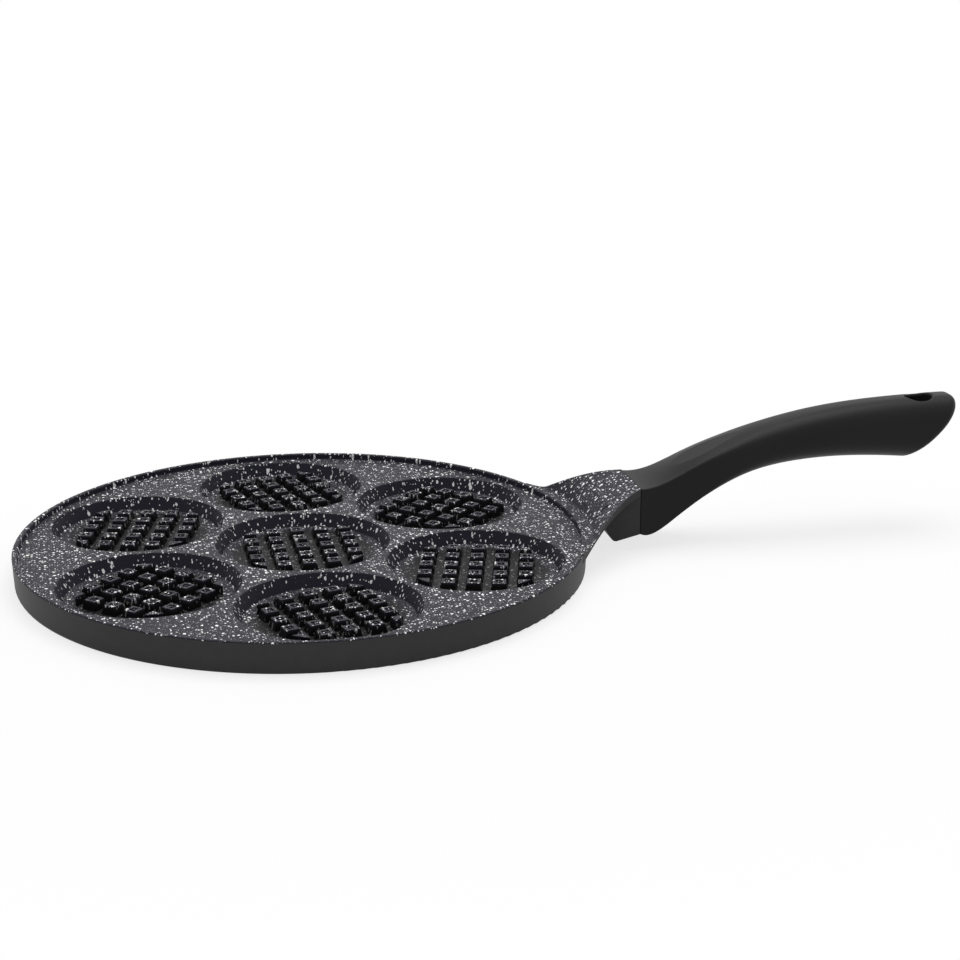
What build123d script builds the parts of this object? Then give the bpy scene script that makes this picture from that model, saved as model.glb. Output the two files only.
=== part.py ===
# Seven-cup mini waffle pan: one cast body with its handle lug, a moulded handle and the screw that joins them.
# Millimetres. The origin is the centre of the pan's flat base, +X runs towards the handle and +Z is up.

import os
from math import atan, cos, degrees, hypot, radians, sin, sqrt

from build123d import *

os.makedirs("parts", exist_ok=True)

# Pan disc and its raised rim
pan_radius = 130.0
wall_draft = 0.6
rim_height = 14.0
rim_width = 2.4
rim_draft = 0.4
land_drop = 2.8
base_edge_round = 1.2
rim_edge_round = 0.9
rim_foot_round = 0.6

# Cups: one in the middle and a ring round it, with a web between them and a margin to the pan's edge
cup_margin = 6.7
cup_web = 3.3
cup_wall_inset = 3.4
cup_depth = 6.0
cups_round = 6
first_cup_angle = 30.0
cup_edge_round = 0.6
cup_floor_round = 0.8

# Waffle blocks on each cup's floor
blocks_across = 5
grid_margin = 5.1
block_groove = 3.55
block_inset = 0.9
block_height = 3.9
grid_turn = 15.0
dimple_width = 3.1
dimple_depth = 0.6
pip_radius = 0.55

# Lug: a flared plate that rises from the rim, over a square chin
lug_reach = 26.0
lug_top = 29.9
lug_bottom = 7.8
lug_half_width = 16.0
flare_root_angle = 24.2
flare_hollow = 2.5
flare_rise_start = 2.7
flare_crown = 3.1
flare_root_drop = 4.4
flare_thickness = 3.4
flare_under_crown = 3.3
rise_blend = 2.5
chin_back = 21.4
chin_shoulder = 18.4
chin_heel = 12.6
chin_low = 4.9
chin_heel_round = 2.6

# Tenon on the lug and the screw that pulls the handle on to it
tenon_length = 8.0
tenon_width = 18.0
tenon_height = 12.0
tenon_edge = 0.8
tenon_clearance = 0.2
tenon_below_top = 9.3
screw_radius = 2.5
screw_length = 20.0
screw_gap = 0.05
head_radius = 4.75
head_height = 3.4
head_round = 1.3
cross_span = 5.2
cross_width = 1.2
cross_depth = 2.0
tapped_spare = 2.0
web_thickness = 3.8
washer_radius = 5.0
washer_bore = 2.65
washer_thickness = 1.0
spring_radius = 4.6
spring_bore = 2.6
spring_thickness = 1.2
spring_slit = 0.9
pocket_clearance = 0.4
pocket_reach = 34.0

# Base plate, keyed into the underside by cast pegs
plate_radius = 100.0
plate_thickness = 0.8
plate_gap = 0.05
plate_rings = 4
plate_border = 12.0
plate_hole_radius = 2.2

# Handle
handle_length = 162.9
stations_past_end = 3.1
end_top = 64.0
end_low = 29.0
end_lean = 43.0
end_bulge = 7.5
end_axis_inset = 45.0
end_edge_round = 3.2
seam_chamfer = 0.3
thumb_rest_depth = 0.5
thumb_rest_lift = 0.05
hang_hole_inset = 19.9
hang_hole_length = 13.4
hang_hole_width = 12.0
hang_hole_round = 1.0

# Handle sections at even steps from the lug: underside, top, half width, corner radius and crown of the top
handle_stations = [
    (lug_bottom, lug_top, lug_half_width, 1.0, 0.1),
    (7.97, 31.05, 14.67, 1.0, 0.5),
    (13.73, 35.26, 13.83, 1.2, 1.35),
    (19.91, 40.17, 13.45, 1.7, 2.1),
    (25.05, 44.28, 13.37, 3.0, 2.5),
    (29.03, 47.66, 13.4, 5.0, 2.7),
    (31.85, 50.67, 13.43, 7.3, 2.6),
    (33.73, 53.31, 13.51, 9.05, 2.4),
    (34.95, 55.59, 13.63, 10.1, 2.2),
    (35.68, 57.53, 13.76, 10.8, 2.05),
    (36.02, 59.1, 13.87, 11.35, 1.9),
    (36.0, 60.3, 13.94, 11.75, 1.7),
    (35.64, 61.19, 14.0, 12.0, 1.6),
    (35.01, 61.83, 14.07, 12.25, 1.5),
    (34.16, 62.26, 14.14, 12.4, 1.45),
    (33.13, 62.54, 14.21, 12.5, 1.4),
    (31.98, 62.69, 14.28, 12.5, 1.35),
    (30.71, 62.74, 14.34, 12.5, 1.25),
    (29.36, 62.71, 14.4, 12.5, 1.2),
]
rest_stations = (2, 4, 6)

# Levels and places that follow from the sizes above
base_radius = pan_radius - wall_draft
cup_radius = (pan_radius - cup_margin - cup_web) / 3
cup_pitch_radius = 2 * cup_radius + cup_web
cup_floor_radius = cup_radius - cup_wall_inset
corner_cut_radius = cup_floor_radius - grid_margin
block_pitch = corner_cut_radius * sqrt(2) / (blocks_across - 1)
block_foot = block_pitch - block_groove
block_top = block_foot - 2 * block_inset
land_height = rim_height - land_drop
cup_floor = land_height - cup_depth
block_level = cup_floor + block_height
block_draft = degrees(atan(block_inset / block_height))
cup_draft = degrees(atan(cup_wall_inset / cup_depth))
plate_ring_step = (plate_radius - plate_border) / plate_rings
lug_face = pan_radius + lug_reach
handle_end = lug_face + handle_length
station_step = (handle_length + stations_past_end) / (len(handle_stations) - 1)
screw_height = lug_top - tenon_below_top
tenon_end = lug_face + tenon_length
screw_seat = tenon_end + web_thickness
spring_seat = screw_seat + washer_thickness
head_seat = spring_seat + spring_thickness
tapped_bottom = head_seat - screw_length - tapped_spare
pocket_radius = washer_radius + pocket_clearance

cup_spots = [Location((0, 0))]
for step in range(cups_round):
    cup_angle = first_cup_angle + step * 360 / cups_round
    cup_x = cup_pitch_radius * cos(radians(cup_angle))
    cup_y = cup_pitch_radius * sin(radians(cup_angle))
    cup_spots.append(Location((cup_x, cup_y), cup_angle + grid_turn))


def bulged_arc(start, end, bulge):
    """An arc from start to end that stands out by bulge to the left of the line between them."""
    run = end[0] - start[0]
    rise = end[1] - start[1]
    span = hypot(run, rise)
    middle = ((start[0] + end[0]) / 2 - bulge * rise / span, (start[1] + end[1]) / 2 + bulge * run / span)
    return ThreePointArc(start, middle, end)


# Blocks of one cup, drafted, with the corner blocks cut to triangles by the grid's outer circle
with BuildPart() as waffle_blocks:
    with BuildSketch(Plane.XY.offset(cup_floor)):
        with GridLocations(block_pitch, block_pitch, blocks_across, blocks_across):
            Rectangle(block_foot, block_foot)
    extrude(amount=block_height, taper=block_draft)
    with BuildSketch(Plane.XY.offset(cup_floor)):
        Circle(corner_cut_radius)
    extrude(amount=block_height, mode=Mode.INTERSECT)

    # A square dimple with a small pip in the top of every whole block
    whole_blocks = []
    for spot in GridLocations(block_pitch, block_pitch, blocks_across, blocks_across):
        outer_corner = hypot(abs(spot.position.X) + block_top / 2, abs(spot.position.Y) + block_top / 2)
        if outer_corner < corner_cut_radius:
            whole_blocks.append(spot)
    with BuildSketch(Plane.XY.offset(block_level)):
        with Locations(*whole_blocks):
            Rectangle(dimple_width, dimple_width)
            Circle(pip_radius, mode=Mode.SUBTRACT)
    extrude(amount=-dimple_depth, mode=Mode.SUBTRACT)

# Flare of the lug: a dished plate turned about the pan's axis, then cut to its plan outline
flare_start = (pan_radius + flare_rise_start, rim_height)
flare_reach = hypot(lug_face, lug_half_width)
flare_inside = pan_radius - rim_width / 2
with BuildPart() as lug_flare:
    with BuildSketch(Plane.XZ) as flare_section:
        with BuildLine():
            Line((flare_inside, rim_height), flare_start)
            bulged_arc(flare_start, (flare_reach, lug_top), flare_crown)
            Line((flare_reach, lug_top), (flare_reach, lug_top - flare_thickness))
            bulged_arc(
                (flare_reach, lug_top - flare_thickness),
                (pan_radius, rim_height - flare_root_drop),
                -flare_under_crown,
            )
            Line((pan_radius, rim_height - flare_root_drop), (flare_inside, rim_height - flare_root_drop))
            Line((flare_inside, rim_height - flare_root_drop), (flare_inside, rim_height))
        make_face()
        rise_corner = flare_section.vertices().sort_by_distance(Vector(*flare_start))[0]
        fillet(rise_corner, radius=rise_blend)
    revolve(axis=Axis.Z, revolution_arc=360)
    with BuildSketch() as flare_plan:
        root_x = pan_radius * cos(radians(flare_root_angle))
        root_y = pan_radius * sin(radians(flare_root_angle))
        with BuildLine():
            bulged_arc((lug_face, lug_half_width), (root_x, root_y), flare_hollow)
            Line((root_x, root_y), (0, 0))
            Line((0, 0), (root_x, -root_y))
            bulged_arc((root_x, -root_y), (lug_face, -lug_half_width), flare_hollow)
            Line((lug_face, -lug_half_width), (lug_face, lug_half_width))
        make_face()
    extrude(amount=lug_top * 2, mode=Mode.INTERSECT)

with BuildPart() as pan_body:
    # Disc with its base edge, outer wall, raised rim and land, as one turned section
    with BuildSketch(Plane.XZ) as disc_section:
        with BuildLine():
            Polyline(
                (0, 0),
                (base_radius, 0),
                (pan_radius, rim_height),
                (pan_radius - rim_width, rim_height),
                (pan_radius - rim_width - rim_draft, land_height),
                (0, land_height),
                close=True,
            )
        make_face()
        corners = disc_section.vertices()
        fillet(corners.sort_by_distance((base_radius, 0))[0], radius=base_edge_round)
        corners = disc_section.vertices()
        fillet(corners.sort_by_distance((pan_radius, rim_height))[0], radius=rim_edge_round)
        corners = disc_section.vertices()
        fillet(corners.sort_by_distance((pan_radius - rim_width, rim_height))[0], radius=rim_edge_round)
        corners = disc_section.vertices()
        fillet(corners.sort_by_distance((pan_radius - rim_width, land_height))[0], radius=rim_foot_round)
    revolve(axis=Axis.Z, revolution_arc=360)

    # Seven cups with drafted walls, a rounded mouth and a rounded foot
    with BuildSketch(Plane.XY.offset(cup_floor)):
        with Locations(*cup_spots):
            Circle(cup_floor_radius)
    extrude(amount=cup_depth, taper=-cup_draft, mode=Mode.SUBTRACT)
    mouths = pan_body.edges().filter_by(GeomType.CIRCLE).filter_by_position(Axis.Z, land_height, land_height)
    fillet([edge for edge in mouths if edge.radius < cup_pitch_radius], radius=cup_edge_round)
    feet = pan_body.edges().filter_by(GeomType.CIRCLE).filter_by_position(Axis.Z, cup_floor, cup_floor)
    fillet(feet, radius=cup_floor_round)

    # Chin of the lug, under the flare and as wide as the handle
    with BuildSketch(Plane.XZ) as chin_section:
        with BuildLine():
            Polyline(
                (lug_face - chin_back, chin_shoulder),
                (lug_face - chin_heel, chin_low),
                (lug_face, lug_bottom),
                (lug_face, lug_top - flare_thickness / 2),
                (lug_face - lug_half_width, lug_top - flare_crown - flare_thickness),
                close=True,
            )
        make_face()
        heel = chin_section.vertices().sort_by_distance((lug_face - chin_heel, chin_low))[0]
        fillet(heel, radius=chin_heel_round)
    extrude(amount=lug_half_width, both=True)
    add(lug_flare.part)

    # Tenon that keys into the handle, with its tapped hole
    with BuildSketch(Plane.YZ.offset(lug_face)):
        with Locations((0, screw_height)):
            Rectangle(tenon_width, tenon_height)
    extrude(amount=tenon_length)
    chamfer(pan_body.faces().sort_by(Axis.X)[-1].edges(), length=tenon_edge)
    with BuildSketch(Plane.YZ.offset(tapped_bottom)):
        with Locations((0, screw_height)):
            Circle(screw_radius + screw_gap)
    extrude(amount=tenon_end - tapped_bottom, mode=Mode.SUBTRACT)

    # Seat for the base plate, with the pegs that fill the plate's holes
    with BuildSketch():
        Circle(plate_radius + plate_gap)
        for ring in range(1, plate_rings + 1):
            with PolarLocations(ring * plate_ring_step, ring * cups_round):
                Circle(plate_hole_radius - plate_gap, mode=Mode.SUBTRACT)
    extrude(amount=plate_thickness, mode=Mode.SUBTRACT)

    # Waffle blocks stand on the cup floors
    with Locations(*cup_spots):
        add(waffle_blocks.part)
pan_body.part.label = "pan_body"

with BuildPart() as base_plate:
    with BuildSketch():
        Circle(plate_radius)
        for ring in range(1, plate_rings + 1):
            with PolarLocations(ring * plate_ring_step, ring * cups_round):
                Circle(plate_hole_radius, mode=Mode.SUBTRACT)
    extrude(amount=plate_thickness)
base_plate.part.label = "base_plate"

with BuildPart() as handle:
    for number, (under, over, half_width, corner, crown) in enumerate(handle_stations):
        with BuildSketch(Plane.YZ.offset(lug_face + number * station_step)) as station:
            with BuildLine():
                Polyline(
                    (-half_width, over - crown),
                    (-half_width, under),
                    (half_width, under),
                    (half_width, over - crown),
                )
                ThreePointArc((half_width, over - crown), (0, over), (-half_width, over - crown))
            make_face()
            fillet(station.vertices(), radius=corner)
    loft()

    # The far end leans back under itself in one curve, turned about an axis further in
    end_plane = Plane(origin=(handle_end - end_axis_inset, 0, 0), x_dir=(0, -1, 0), z_dir=(-1, 0, 0))
    with BuildSketch(end_plane):
        with BuildLine():
            Polyline(
                (end_axis_inset, end_top),
                (end_axis_inset, 2 * end_top),
                (2 * end_axis_inset, 2 * end_top),
                (2 * end_axis_inset, 0),
                (end_axis_inset - end_lean, 0),
                (end_axis_inset - end_lean, end_low),
            )
            bulged_arc((end_axis_inset - end_lean, end_low), (end_axis_inset, end_top), -end_bulge)
        make_face()
    end_axis = Axis(end_plane.origin, (0, 0, 1))
    revolve(axis=end_axis, revolution_arc=180, mode=Mode.SUBTRACT)
    end_face = handle.faces().sort_by(Axis.X)[-1]
    fillet(end_face.edges(), radius=end_edge_round)

    # Fine chamfer round the front, which leaves a dark line at the seam with the lug
    front_face = handle.faces().sort_by(Axis.X)[0]
    chamfer(front_face.edges(), length=seam_chamfer)

    # Thumb rest: a long shallow hollow across the crown of the rising top
    rest_spots = [(lug_face + number * station_step, handle_stations[number][1]) for number in rest_stations]
    rest_start, rest_middle, rest_end = rest_spots
    with BuildSketch(Plane.XZ):
        with BuildLine():
            ThreePointArc(
                (rest_start[0], rest_start[1] + thumb_rest_lift),
                (rest_middle[0], rest_middle[1] - thumb_rest_depth),
                (rest_end[0], rest_end[1] + thumb_rest_lift),
            )
            Polyline(
                (rest_end[0], rest_end[1] + thumb_rest_lift),
                (rest_end[0], end_top),
                (rest_start[0], end_top),
                (rest_start[0], rest_start[1] + thumb_rest_lift),
            )
        make_face()
    extrude(amount=lug_half_width, both=True, mode=Mode.SUBTRACT)

    # Hanging hole, rounded at both mouths
    with BuildSketch(Plane.XY):
        with Locations((handle_end - hang_hole_inset, 0)):
            SlotOverall(hang_hole_length, hang_hole_width)
    extrude(amount=2 * end_top, mode=Mode.SUBTRACT)
    hole_mouths = handle.edges(Select.LAST).filter_by(GeomType.LINE, reverse=True)
    fillet(hole_mouths, radius=hang_hole_round)

    # Socket for the lug's tenon
    with BuildSketch(Plane.YZ.offset(lug_face)):
        with Locations((0, screw_height)):
            Rectangle(tenon_width + 2 * tenon_clearance, tenon_height + 2 * tenon_clearance)
    extrude(amount=tenon_length + tenon_clearance, mode=Mode.SUBTRACT)

    # Screw hole, and the pocket that lets a long screwdriver in from under the handle
    with BuildSketch(Plane.YZ.offset(lug_face)):
        with Locations((0, screw_height)):
            Circle(washer_bore)
    extrude(amount=screw_seat - lug_face, mode=Mode.SUBTRACT)
    with BuildSketch(Plane.YZ.offset(screw_seat)):
        with Locations((0, screw_height)):
            Circle(pocket_radius)
    extrude(amount=pocket_reach, mode=Mode.SUBTRACT)
handle.part.label = "handle"

with BuildPart() as flat_washer:
    with BuildSketch(Plane.YZ.offset(screw_seat)):
        with Locations((0, screw_height)):
            Circle(washer_radius)
            Circle(washer_bore, mode=Mode.SUBTRACT)
    extrude(amount=washer_thickness)
flat_washer.part.label = "flat_washer"

with BuildPart() as spring_washer:
    with BuildSketch(Plane.YZ.offset(spring_seat)):
        with Locations((0, screw_height)):
            Circle(spring_radius)
            Circle(spring_bore, mode=Mode.SUBTRACT)
        with Locations((0, screw_height + spring_radius)):
            Rectangle(spring_slit, 2 * (spring_radius - spring_bore) + spring_bore, mode=Mode.SUBTRACT)
    extrude(amount=spring_thickness)
spring_washer.part.label = "spring_washer"

with BuildPart() as handle_screw:
    with BuildSketch(Plane.YZ.offset(head_seat)):
        with Locations((0, screw_height)):
            Circle(screw_radius)
    extrude(amount=-screw_length)
    tip = handle_screw.faces().sort_by(Axis.X)[0].edges()
    chamfer(tip, length=tenon_edge)
    with BuildSketch(Plane.YZ.offset(head_seat)):
        with Locations((0, screw_height)):
            Circle(head_radius)
    extrude(amount=head_height)
    crown = handle_screw.faces().sort_by(Axis.X)[-1].edges()
    fillet(crown, radius=head_round)
    with BuildSketch(Plane.YZ.offset(head_seat + head_height)):
        with Locations((0, screw_height)):
            Rectangle(cross_span, cross_width)
            Rectangle(cross_width, cross_span)
    extrude(amount=-cross_depth, mode=Mode.SUBTRACT)
handle_screw.part.label = "handle_screw"

export_step(pan_body.part, "parts/pan_body.step")
export_step(base_plate.part, "parts/base_plate.step")
export_step(handle.part, "parts/handle.step")
export_step(flat_washer.part, "parts/flat_washer.step")
export_step(spring_washer.part, "parts/spring_washer.step")
export_step(handle_screw.part, "parts/handle_screw.step")
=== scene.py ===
from math import cos, pi, radians, sin

import bpy
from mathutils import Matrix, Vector


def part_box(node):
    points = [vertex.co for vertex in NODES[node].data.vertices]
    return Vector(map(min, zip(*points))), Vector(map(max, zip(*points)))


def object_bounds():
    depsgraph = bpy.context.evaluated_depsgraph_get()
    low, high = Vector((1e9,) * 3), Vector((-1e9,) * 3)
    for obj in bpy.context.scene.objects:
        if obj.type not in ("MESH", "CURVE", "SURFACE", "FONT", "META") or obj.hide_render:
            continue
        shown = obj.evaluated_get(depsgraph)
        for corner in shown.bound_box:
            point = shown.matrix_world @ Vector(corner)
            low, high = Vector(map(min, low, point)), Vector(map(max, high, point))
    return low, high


bl_info = {
    "name": "Seven-cup waffle pan",
    "version": (1, 0, 0),
    "blender": (4, 5, 0),
    "location": "View3D > Sidebar > Waffle pan",
    "description": "Finishes a cast seven-cup waffle pan with its moulded handle",
    "category": "Object",
}

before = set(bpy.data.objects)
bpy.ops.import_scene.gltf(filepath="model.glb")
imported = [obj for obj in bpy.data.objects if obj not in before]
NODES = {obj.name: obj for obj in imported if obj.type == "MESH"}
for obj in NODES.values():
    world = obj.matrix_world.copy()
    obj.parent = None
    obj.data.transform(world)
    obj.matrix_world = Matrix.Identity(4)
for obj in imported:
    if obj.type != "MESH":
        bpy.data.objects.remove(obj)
CAD_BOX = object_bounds()
PAN_RADIUS = -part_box("pan_body")[0].x
LUG_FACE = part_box("handle")[0].x

# Where the coating ends, in metres: the rim's outer band, the lowest coated height, and their soft edge
RIM_BAND = 0.0016
COATED_FROM = 0.003
COATING_EDGE = 0.0002

# How far up a face looks, as the Z of its direction: where the rim's outer band is coated, and where a face
# counts as turned up; steeper faces get fewer flecks and, as painted shade, a darker colour
TURNED_UP = (0.32, 0.42)
SPRAYED_AND_LIT = (0.45, 0.95)

# Flecks: cells per metre, and how far the widest fleck reaches from its middle as a share of a cell
LARGE_FLECKS = (520.0, 0.42)
SMALL_FLECKS = (900.0, 0.44)
DUST = (1600.0, 0.42)

# As shares of the widest fleck: the smallest one, and the blur of a fleck's edge
SMALLEST_FLECK = 0.35
FLECK_BLUR = 0.1

# Large flecks take this share of the fleck share, and a cell's draw is this soft
LARGE_SHARE = 0.6
DRAW_BLUR = 0.01

# Strength of dust, of flecks on walls, and of flecks in the grooves, which are cut down there as part of the
# painted groove shade
DUST_STRENGTH = 0.4
WALL_FLECKS = 0.65
GROOVE_SHADE_FLECKS = 0.2

# Ragged edges of the flecks: bends per metre, how far they push in metres, and the drawing out down a wall
RAGGED_SCALE = 1500.0
RAGGED_PUSH = 0.0006
DRAWN_OUT = (1.0, 1.0, 0.4)

# The coating's clouds, patches and peel, and the lacquer's drift, in waves per metre
CLOUD_SCALE = 1100.0
CLOUD_RANGE = (0.3, 0.72)
PATCH_SCALE = 45.0
PEEL_SCALE = 700.0
LACQUER_SCALE = 260.0
LACQUER_DRIFT = 1.25

# The moulding's grain and drift, in waves per metre
GRAIN_SCALE = 2600.0
DRIFT_SCALE = 30.0
MOULDING_DRIFT = 1.3

# Bare metal: grain in waves per metre, and the darkest and lightest of each finish
RING_SCALE = 2600.0
STAIN_SCALE = 22.0
STAINLESS = ((0.44, 0.44, 0.43), (0.66, 0.66, 0.65))
PLATING_SCALE = 420.0
SCRATCH_SCALE = 1800.0
SCRATCH_STRETCH = (1.0, 6.0, 6.0)
ZINC = ((0.50, 0.50, 0.47), (0.68, 0.68, 0.66))

# Relief of each surface: its strength, and its depth in metres
PEEL = (0.35, 0.0002)
GRAIN = (0.12, 0.0001)
RINGS = (0.25, 0.00008)
SCRATCHES = (0.15, 0.00005)

# How much the coating and the moulding mirror, where 0.5 is plain plastic
COATING_SHEEN = 0.09
MOULDING_SHEEN = 0.1

# Seam between lug and handle: where it ends, in metres past the lug, and the painted shade in its gap
SEAM = (0.0004, 0.0007)
SEAM_SHADE = 0.0005

# How many cups stand round the middle one
CUPS_ROUND = 6

# Painted shade in the grooves between the blocks: how much darker they are, and the grey of their walls
GROOVE_SHADE = 0.75
GROOVE_SHADE_GREY = 0.002

# Where the painted groove shade lies, in metres: the grid's edge, within and past its reach, and below the
# blocks' tops
GROOVE_EDGE = (0.001, 0.003)
GROOVE_TOP = (0.0012, 0.0004)

# Lamps: name, place and size in metres, and power in watts
SOFTBOXES = (
    ("overhead", (0.25, 0.35, 1.5), 1.2, 16.0),
    ("left_fill", (-1.3, -0.5, 0.9), 0.9, 1.2),
)

# The floor: its grey, and the share of plain white near the object and far from it
FLOOR_GREY = 0.9
FLOOR_WHITE = (0.75, 1.0)

# Where the floor turns plain white, in metres, with less counted along the handle
FLOOR_REACH = (0.15, 0.4)
FLOOR_STRETCH = (0.7, 1.0, 1.0)

# How far the floor lies below the object, in metres
FLOOR_DROP = 0.0002

# The camera's frame in millimetres, and how far it sees in metres
SENSOR = 36.0
SIGHT = 50.0


class Value:
    """A shader socket that takes part in Python expressions, which become Math nodes."""

    def __init__(self, graph, socket):
        self.graph = graph
        self.socket = socket

    def calculate(self, operation, *others):
        return self.graph.node("ShaderNodeMath", {"operation": operation}, self, *others)

    def __add__(self, other):
        return self.calculate("ADD", other)

    __radd__ = __add__

    def __sub__(self, other):
        return self.calculate("SUBTRACT", other)

    def __rsub__(self, other):
        return self.graph.node("ShaderNodeMath", {"operation": "SUBTRACT"}, other, self)

    def __mul__(self, other):
        return self.calculate("MULTIPLY", other)

    __rmul__ = __mul__

    def __truediv__(self, other):
        return self.calculate("DIVIDE", other)

    def __pow__(self, other):
        return self.calculate("POWER", other)

    def least(self, other):
        return self.calculate("MINIMUM", other)

    def most(self, other):
        return self.calculate("MAXIMUM", other)

    def step(self, start, end):
        """Zero at start and one at end, smooth between them."""
        smooth = {"interpolation_type": "SMOOTHSTEP"}
        return self.graph.node("ShaderNodeMapRange", smooth, self, start, end, 0.0, 1.0)


class Graph:
    """The node tree of a material or of the world, which is its owner."""

    def __init__(self, owner):
        owner.use_nodes = True
        owner.node_tree.nodes.clear()
        self.owner = owner
        self.tree = owner.node_tree

    def node(self, kind, settings, *inputs, output=0, **named):
        """Adds a node, sets its settings and then its sockets, and returns one of its outputs."""
        made = self.tree.nodes.new(kind)
        for setting, value in settings.items():
            setattr(made, setting, value)
        for socket, value in zip(made.inputs, inputs):
            self.feed(socket, value)
        for title, value in named.items():
            self.feed(made.inputs[title.replace("_", " ")], value)
        if made.outputs:
            return Value(self, made.outputs[output])

    def feed(self, socket, value):
        if isinstance(value, Value):
            self.tree.links.new(value.socket, socket)
        elif value is not None:
            socket.default_value = value

    def position(self):
        """Place on the object, in metres."""
        return self.node("ShaderNodeTexCoord", {}, output="Object")

    def facing(self):
        """The surface's own direction."""
        return self.node("ShaderNodeTexCoord", {}, output="Normal")

    def axis(self, vector, letter):
        return self.node("ShaderNodeSeparateXYZ", {}, vector, output=letter)

    def stretched(self, vector, scale):
        return self.node("ShaderNodeVectorMath", {"operation": "MULTIPLY"}, vector, scale)

    def shaken(self, vector, scale, amount):
        """The same place, pushed about by noise, so that what follows has ragged edges."""
        jitter = self.node("ShaderNodeTexNoise", {}, vector, Scale=scale, Detail=1.0, output="Color")
        centred = self.between(jitter, (0.5, 0.5, 0.5))
        push = self.node("ShaderNodeVectorMath", {"operation": "SCALE"}, centred, Scale=amount)
        return self.node("ShaderNodeVectorMath", {"operation": "ADD"}, vector, push)

    def length(self, vector):
        return self.node("ShaderNodeVectorMath", {"operation": "LENGTH"}, vector, output="Value")

    def between(self, vector, origin):
        """The way from an origin to a place."""
        return self.node("ShaderNodeVectorMath", {"operation": "SUBTRACT"}, vector, origin)

    def noise(self, vector, scale, detail=2.0, roughness=0.5):
        return self.node("ShaderNodeTexNoise", {}, vector, Scale=scale, Detail=detail, Roughness=roughness)

    def specks(self, vector, scale, size, share):
        """Flecks in a share of the cells of a random pattern, the widest being size of a cell."""
        cells = self.node("ShaderNodeTexVoronoi", {}, vector, Scale=scale)
        tint = self.node("ShaderNodeTexVoronoi", {}, vector, Scale=scale, output="Color")
        chance = self.axis(tint, "X")
        spare = ((chance - (1 - share)) / share).most(0.0)
        reach = spare * (size * (1 - SMALLEST_FLECK)) + size * SMALLEST_FLECK
        drawn = chance.step(1 - share - DRAW_BLUR, 1 - share)
        return (reach - cells).step(0.0, size * FLECK_BLUR) * drawn

    def blend(self, factor, first, second):
        unused = [None] * 5
        return self.node("ShaderNodeMix", {"data_type": "RGBA"}, factor, *unused, first, second, output=2)

    def drifting(self, factor, colour, most):
        """A colour that drifts up to most times as light."""
        return self.blend(factor, rgb(colour), rgb([c * most for c in colour]))

    def bump(self, height, strength, distance):
        return self.node("ShaderNodeBump", {}, Strength=strength, Distance=distance, Height=height)

    def finish(self, **sockets):
        """Ends the tree in one Principled shader."""
        shader = self.node("ShaderNodeBsdfPrincipled", {}, **sockets)
        self.node("ShaderNodeOutputMaterial", {}, shader)
        return self.owner


def rgb(colour):
    return (colour[0], colour[1], colour[2], 1.0)


def grey(level):
    return (level, level, level, 1.0)


class WafflePanCoating(bpy.types.PropertyGroup):
    """Colours and grain of the cast body."""

    fleck: bpy.props.FloatVectorProperty(
        name="Fleck", description="Colour of the pale flecks", subtype="COLOR", default=(1.0, 1.0, 1.0)
    )
    ground: bpy.props.FloatVectorProperty(
        name="Ground", description="Coating between the flecks, on faces turned up", subtype="COLOR",
        default=(0.047, 0.047, 0.055)
    )
    # Painted shade: steep walls take this darker colour in place of the ground, as if less light falls on
    # them
    shade: bpy.props.FloatVectorProperty(
        name="Shade", description="Coating on steep walls, where less spray lands", subtype="COLOR",
        default=(0.010, 0.010, 0.017)
    )
    lacquer: bpy.props.FloatVectorProperty(
        name="Lacquer", description="Plain lacquer of the outer wall and lug sides", subtype="COLOR",
        default=(0.034, 0.033, 0.033)
    )
    share: bpy.props.FloatProperty(
        name="Fleck share", description="Share of places that carry a fleck", default=0.36, min=0.0, max=1.0
    )
    cup_pitch: bpy.props.FloatProperty(
        name="Cup pitch", description="From the pan's centre to the outer cups' centres", subtype="DISTANCE",
        unit="LENGTH", default=0.0833
    )
    first_cup: bpy.props.FloatProperty(
        name="First cup", description="From the handle to the first outer cup", subtype="ANGLE",
        default=radians(30)
    )
    grid_radius: bpy.props.FloatProperty(
        name="Grid radius", description="Reach of the block grid in each cup", subtype="DISTANCE",
        unit="LENGTH", default=0.0312
    )
    block_level: bpy.props.FloatProperty(
        name="Block level", description="Height of the blocks' tops", subtype="DISTANCE",
        unit="LENGTH", default=0.0091
    )


class WafflePanHandle(bpy.types.PropertyGroup):
    """Colour and sheen of the moulding."""

    colour: bpy.props.FloatVectorProperty(
        name="Colour", description="Colour of the moulding", subtype="COLOR", default=(0.0105, 0.0105, 0.011)
    )
    roughness: bpy.props.FloatProperty(
        name="Roughness", description="How matt the moulding is", default=0.38, min=0.0, max=1.0
    )


class WafflePanStage(bpy.types.PropertyGroup):
    """Camera and light."""

    eye: bpy.props.FloatVectorProperty(
        name="Eye", description="Where the camera stands", subtype="XYZ", unit="LENGTH",
        default=(-0.1056, -0.8513, 0.3110)
    )
    tilt: bpy.props.FloatProperty(
        name="Tilt", description="How far the camera looks down", subtype="ANGLE", default=radians(17.5935)
    )
    turn: bpy.props.FloatProperty(
        name="Turn", description="How far the camera is turned to the right", subtype="ANGLE",
        default=radians(12.5)
    )
    lens: bpy.props.FloatProperty(
        name="Lens", description="Focal length on a 36 mm frame", unit="CAMERA", default=74.1
    )
    floor: bpy.props.FloatProperty(
        name="Floor", description="Width of the floor", subtype="DISTANCE", unit="LENGTH", default=12.0
    )
    sky: bpy.props.FloatProperty(
        name="Sky", description="Strength of the even light from all round", default=0.55, min=0.0, max=1.0
    )


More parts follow.
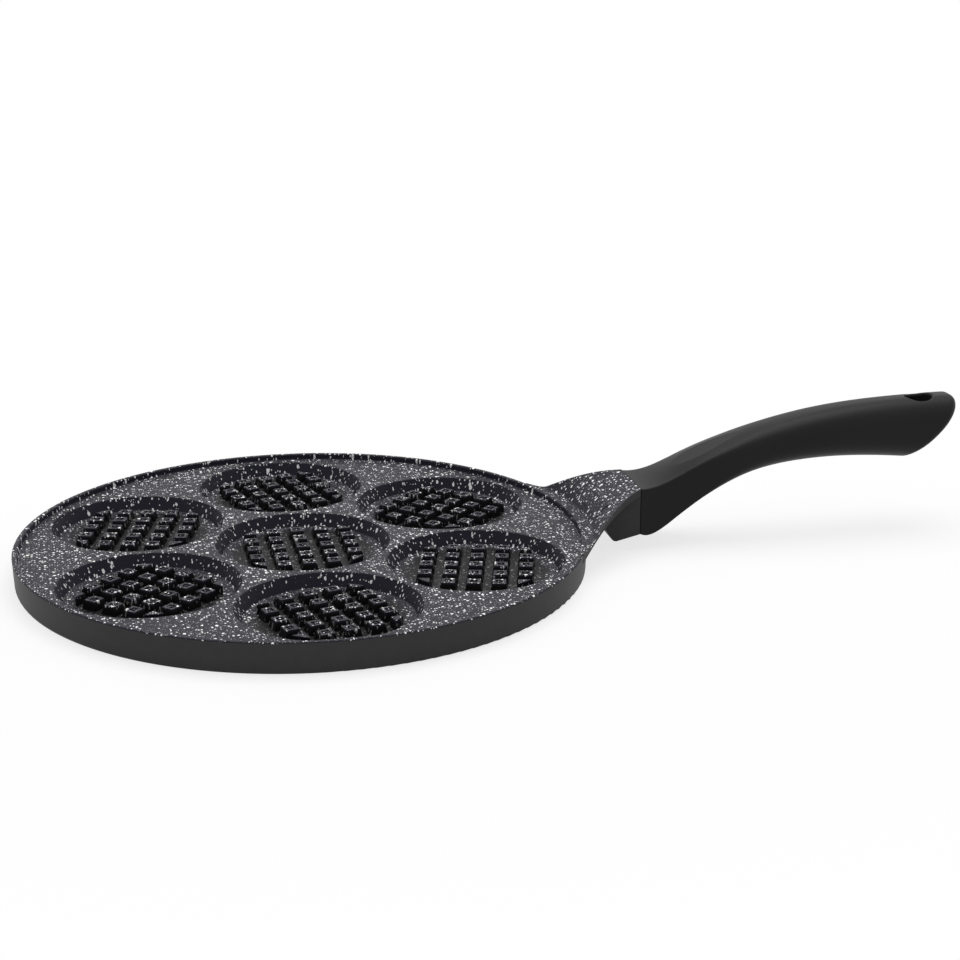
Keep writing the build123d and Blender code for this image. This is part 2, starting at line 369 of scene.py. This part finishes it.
def grid_mask(g, place, look):
    """One over the block grid of any cup, seen from above, where the grooves get painted shade."""
    inner, outer = GROOVE_EDGE
    flat = g.stretched(place, (1.0, 1.0, 0.0))
    nearest = g.length(flat)
    for number in range(CUPS_ROUND):
        turn = look.first_cup + 2 * pi / CUPS_ROUND * number
        centre = (look.cup_pitch * cos(turn), look.cup_pitch * sin(turn), 0.0)
        nearest = nearest.least(g.length(g.between(flat, centre)))
    return 1 - nearest.step(look.grid_radius - inner, look.grid_radius + outer)


def coated_casting(look):
    """Flecked non-stick coating inside and on top, plain lacquer outside and below, with painted shade on
    steep walls and in the grooves between the blocks.
    """
    g = Graph(bpy.data.materials.new("flecked_coating"))
    place = g.position()
    x = g.axis(place, "X")
    y = g.axis(place, "Y")
    z = g.axis(place, "Z")
    up = g.axis(g.facing(), "Z")
    out = (x * x + y * y) ** 0.5

    inside = 1 - out.step(PAN_RADIUS - RIM_BAND, PAN_RADIUS - RIM_BAND + COATING_EDGE)
    above = z.step(COATED_FROM, COATED_FROM + COATING_EDGE)
    coated = inside.most(up.step(*TURNED_UP)) * above
    # How turned up a face is: it sets the fleck density, and the painted shade on steep walls
    level = up.step(*SPRAYED_AND_LIT)
    # Painted shade in the grooves between the blocks, below the blocks' tops
    below_tops = 1 - z.step(look.block_level - GROOVE_TOP[0], look.block_level - GROOVE_TOP[1])
    groove_shade_mask = grid_mask(g, place, look) * below_tops

    drawn_out = g.stretched(g.shaken(place, RAGGED_SCALE, RAGGED_PUSH), DRAWN_OUT)
    large = g.specks(drawn_out, *LARGE_FLECKS, look.share * LARGE_SHARE)
    small = g.specks(drawn_out, *SMALL_FLECKS, look.share)
    dust = g.specks(drawn_out, *DUST, look.share) * DUST_STRENGTH
    thin = WALL_FLECKS + (1 - WALL_FLECKS) * level
    # Painted shade: fewer flecks in the grooves between the blocks
    flecks_left_in_shade = 1 - (1 - GROOVE_SHADE_FLECKS) * groove_shade_mask
    fleck = (large * thin).most(small * thin).most(dust * level) * flecks_left_in_shade

    cloud = g.noise(place, CLOUD_SCALE, 3.0, 0.7)
    patch = g.noise(place, PATCH_SCALE)
    # Painted shade: steep walls fall to the shade colour and the grooves are darkened further; the clouds
    # and patches are the coating's own random tone
    tone_and_shade = level * cloud.step(*CLOUD_RANGE) * (0.75 + 0.5 * patch) * (1 - GROOVE_SHADE * groove_shade_mask)
    # Painted shade: the shade colour on walls, and a near black in the grooves
    painted_shade = g.blend(groove_shade_mask, rgb(look.shade), grey(GROOVE_SHADE_GREY))
    ground = g.blend(tone_and_shade.least(1.0), painted_shade, rgb(look.ground))
    stone = g.blend(fleck, ground, rgb(look.fleck))
    lacquer = g.drifting(g.noise(place, LACQUER_SCALE), look.lacquer, LACQUER_DRIFT)
    colour = g.blend(coated, lacquer, stone)

    orange_peel = g.noise(place, PEEL_SCALE, roughness=0.6)
    height = orange_peel * (0.35 + 0.65 * coated) + fleck * coated * 0.8
    return g.finish(
        Base_Color=colour,
        Roughness=0.4 + 0.14 * cloud + 0.12 * fleck * coated,
        Specular_IOR_Level=COATING_SHEEN,
        Normal=g.bump(height, *PEEL),
    )


def satin_moulding(look):
    """Black satin moulding with the faint grain of its mould, and painted shade in the seam by the lug."""
    g = Graph(bpy.data.materials.new("satin_black_moulding"))
    place = g.position()
    grain = g.noise(place, GRAIN_SCALE, roughness=0.6)
    drift = g.noise(place, DRIFT_SCALE)
    plain = g.drifting(drift, look.colour, MOULDING_DRIFT)
    # Painted shade: a near black strip in the seam's gap next to the lug
    past_seam = g.axis(place, "X").step(LUG_FACE + SEAM[0], LUG_FACE + SEAM[1])
    colour = g.blend(past_seam, grey(SEAM_SHADE), plain)
    return g.finish(
        Base_Color=colour,
        Roughness=look.roughness - 0.03 + 0.06 * drift + 0.04 * grain,
        Specular_IOR_Level=MOULDING_SHEEN,
        Normal=g.bump(grain, *GRAIN),
    )


def turned_steel():
    """Stainless sheet with the rings of its turning."""
    g = Graph(bpy.data.materials.new("turned_stainless"))
    place = g.position()
    x = g.axis(place, "X")
    y = g.axis(place, "Y")
    out = (x * x + y * y) ** 0.5
    line = g.node("ShaderNodeCombineXYZ", {}, out, 0.0, 0.0)
    rings = g.noise(line, RING_SCALE, 3.0, 0.7)
    stain = g.noise(place, STAIN_SCALE, 3.0, 0.6)
    dark, light = STAINLESS
    colour = g.blend(0.35 * stain + 0.5 * rings, rgb(dark), rgb(light))
    return g.finish(
        Base_Color=colour,
        Metallic=1.0,
        Roughness=0.26 + 0.14 * rings + 0.06 * stain,
        Normal=g.bump(rings, *RINGS),
    )


def plated_steel():
    """Bright zinc plating with fine handling marks."""
    g = Graph(bpy.data.materials.new("zinc_plated_steel"))
    place = g.position()
    cloud = g.noise(place, PLATING_SCALE, 3.0, 0.6)
    fine = g.noise(g.stretched(place, SCRATCH_STRETCH), SCRATCH_SCALE, roughness=0.6)
    dark, light = ZINC
    colour = g.blend(cloud, rgb(dark), rgb(light))
    return g.finish(
        Base_Color=colour,
        Metallic=1.0,
        Roughness=0.28 + 0.12 * cloud + 0.05 * fine,
        Normal=g.bump(fine, *SCRATCHES),
    )


def seen_directly(g):
    """One for rays from the camera, a mirror or glass, and zero for those that carry light."""
    camera = g.node("ShaderNodeLightPath", {}, output="Is Camera Ray")
    glossy = g.node("ShaderNodeLightPath", {}, output="Is Glossy Ray")
    through = g.node("ShaderNodeLightPath", {}, output="Is Transmission Ray")
    return camera.most(glossy).most(through)


def stage_material(middle):
    """White floor that keeps the object's soft shadow near the object."""
    g = Graph(bpy.data.materials.new("white_floor"))
    near, far = FLOOR_WHITE
    away = g.length(g.stretched(g.between(g.position(), middle), FLOOR_STRETCH))
    clean = near + (far - near) * away.step(*FLOOR_REACH)
    shaded = g.node("ShaderNodeBsdfDiffuse", {}, grey(FLOOR_GREY))
    white = g.node("ShaderNodeEmission", {}, grey(1.0), 1.0)
    floor = g.node("ShaderNodeMixShader", {}, clean * seen_directly(g), shaded, white)
    g.node("ShaderNodeOutputMaterial", {}, floor)
    return g.owner


def dress(node, material):
    """Gives a CAD node its finish."""
    mesh = NODES[node].data
    mesh.materials.clear()
    mesh.materials.append(material)


class WAFFLEPAN_OT_body(bpy.types.Operator):
    """Coats the cast body"""

    bl_idname = "waffle_pan.body"
    bl_label = "Cast body"

    def execute(self, context):
        dress("pan_body", coated_casting(context.scene.waffle_coating))
        return {"FINISHED"}


class WAFFLEPAN_OT_handle(bpy.types.Operator):
    """Finishes the moulded handle"""

    bl_idname = "waffle_pan.handle"
    bl_label = "Handle"

    def execute(self, context):
        dress("handle", satin_moulding(context.scene.waffle_handle))
        return {"FINISHED"}


class WAFFLEPAN_OT_metal(bpy.types.Operator):
    """Finishes the base plate, the screw and its washers"""

    bl_idname = "waffle_pan.metal"
    bl_label = "Bare metal"

    def execute(self, context):
        dress("base_plate", turned_steel())
        plated = plated_steel()
        for node in ("handle_screw", "flat_washer", "spring_washer"):
            dress(node, plated)
        return {"FINISHED"}


def add_softbox(name, place, aim, size, power):
    """A square lamp that faces a point."""
    bpy.ops.object.light_add(type="AREA", location=place)
    lamp = bpy.context.object
    lamp.name = name
    lamp.data.shape = "SQUARE"
    lamp.data.size = size
    lamp.data.energy = power
    lamp.rotation_euler = (Vector(aim) - Vector(place)).to_track_quat("-Z", "Y").to_euler()


def light_the_world(world, sky):
    """Even sky light, white where it is seen directly."""
    g = Graph(world)
    background = g.node("ShaderNodeBackground", {}, grey(1.0), sky + (1 - sky) * seen_directly(g))
    g.node("ShaderNodeOutputWorld", {}, background)


class WAFFLEPAN_OT_stage(bpy.types.Operator):
    """Sets the floor, the light and the camera"""

    bl_idname = "waffle_pan.stage"
    bl_label = "Stage"

    def execute(self, context):
        look = context.scene.waffle_stage
        middle = (CAD_BOX[0] + CAD_BOX[1]) / 2
        bpy.ops.object.select_all(action="DESELECT")
        bpy.ops.mesh.primitive_plane_add(size=look.floor, location=(0, 0, CAD_BOX[0][2] - FLOOR_DROP))
        floor = context.object
        floor.name = "floor"
        floor.data.materials.append(stage_material(middle))

        world = bpy.data.worlds.new("studio")
        context.scene.world = world
        light_the_world(world, look.sky)
        for name, place, size, power in SOFTBOXES:
            add_softbox(name, place, middle, size, power)

        bpy.ops.object.camera_add(location=look.eye, rotation=(pi / 2 - look.tilt, 0, -look.turn))
        camera = context.object
        camera.name = "camera"
        camera.data.sensor_width = SENSOR
        camera.data.lens = look.lens
        camera.data.clip_end = SIGHT
        context.scene.camera = camera
        context.scene.view_settings.view_transform = "Standard"
        return {"FINISHED"}


class WAFFLEPAN_PT_panel(bpy.types.Panel):
    """Lists the pan's finishes and its stage"""

    bl_label = "Waffle pan"
    bl_idname = "WAFFLEPAN_PT_panel"
    bl_space_type = "VIEW_3D"
    bl_region_type = "UI"
    bl_category = "Waffle pan"

    def draw(self, context):
        for group in ("waffle_coating", "waffle_handle", "waffle_stage"):
            values = getattr(context.scene, group)
            for title in values.__annotations__:
                self.layout.prop(values, title)
        for operator in OPERATORS:
            self.layout.operator(operator.bl_idname)


OPERATORS = (WAFFLEPAN_OT_body, WAFFLEPAN_OT_handle, WAFFLEPAN_OT_metal, WAFFLEPAN_OT_stage)
GROUPS = {
    "waffle_coating": WafflePanCoating,
    "waffle_handle": WafflePanHandle,
    "waffle_stage": WafflePanStage,
}


def register():
    for title, group in GROUPS.items():
        bpy.utils.register_class(group)
        setattr(bpy.types.Scene, title, bpy.props.PointerProperty(type=group))
    for operator in OPERATORS:
        bpy.utils.register_class(operator)
    bpy.utils.register_class(WAFFLEPAN_PT_panel)


def unregister():
    bpy.utils.unregister_class(WAFFLEPAN_PT_panel)
    for operator in reversed(OPERATORS):
        bpy.utils.unregister_class(operator)
    for title, group in GROUPS.items():
        delattr(bpy.types.Scene, title)
        bpy.utils.unregister_class(group)


def main():
    register()
    bpy.ops.waffle_pan.body()
    bpy.ops.waffle_pan.handle()
    bpy.ops.waffle_pan.metal()
    bpy.ops.waffle_pan.stage()


if __name__ == "__main__":
    main()
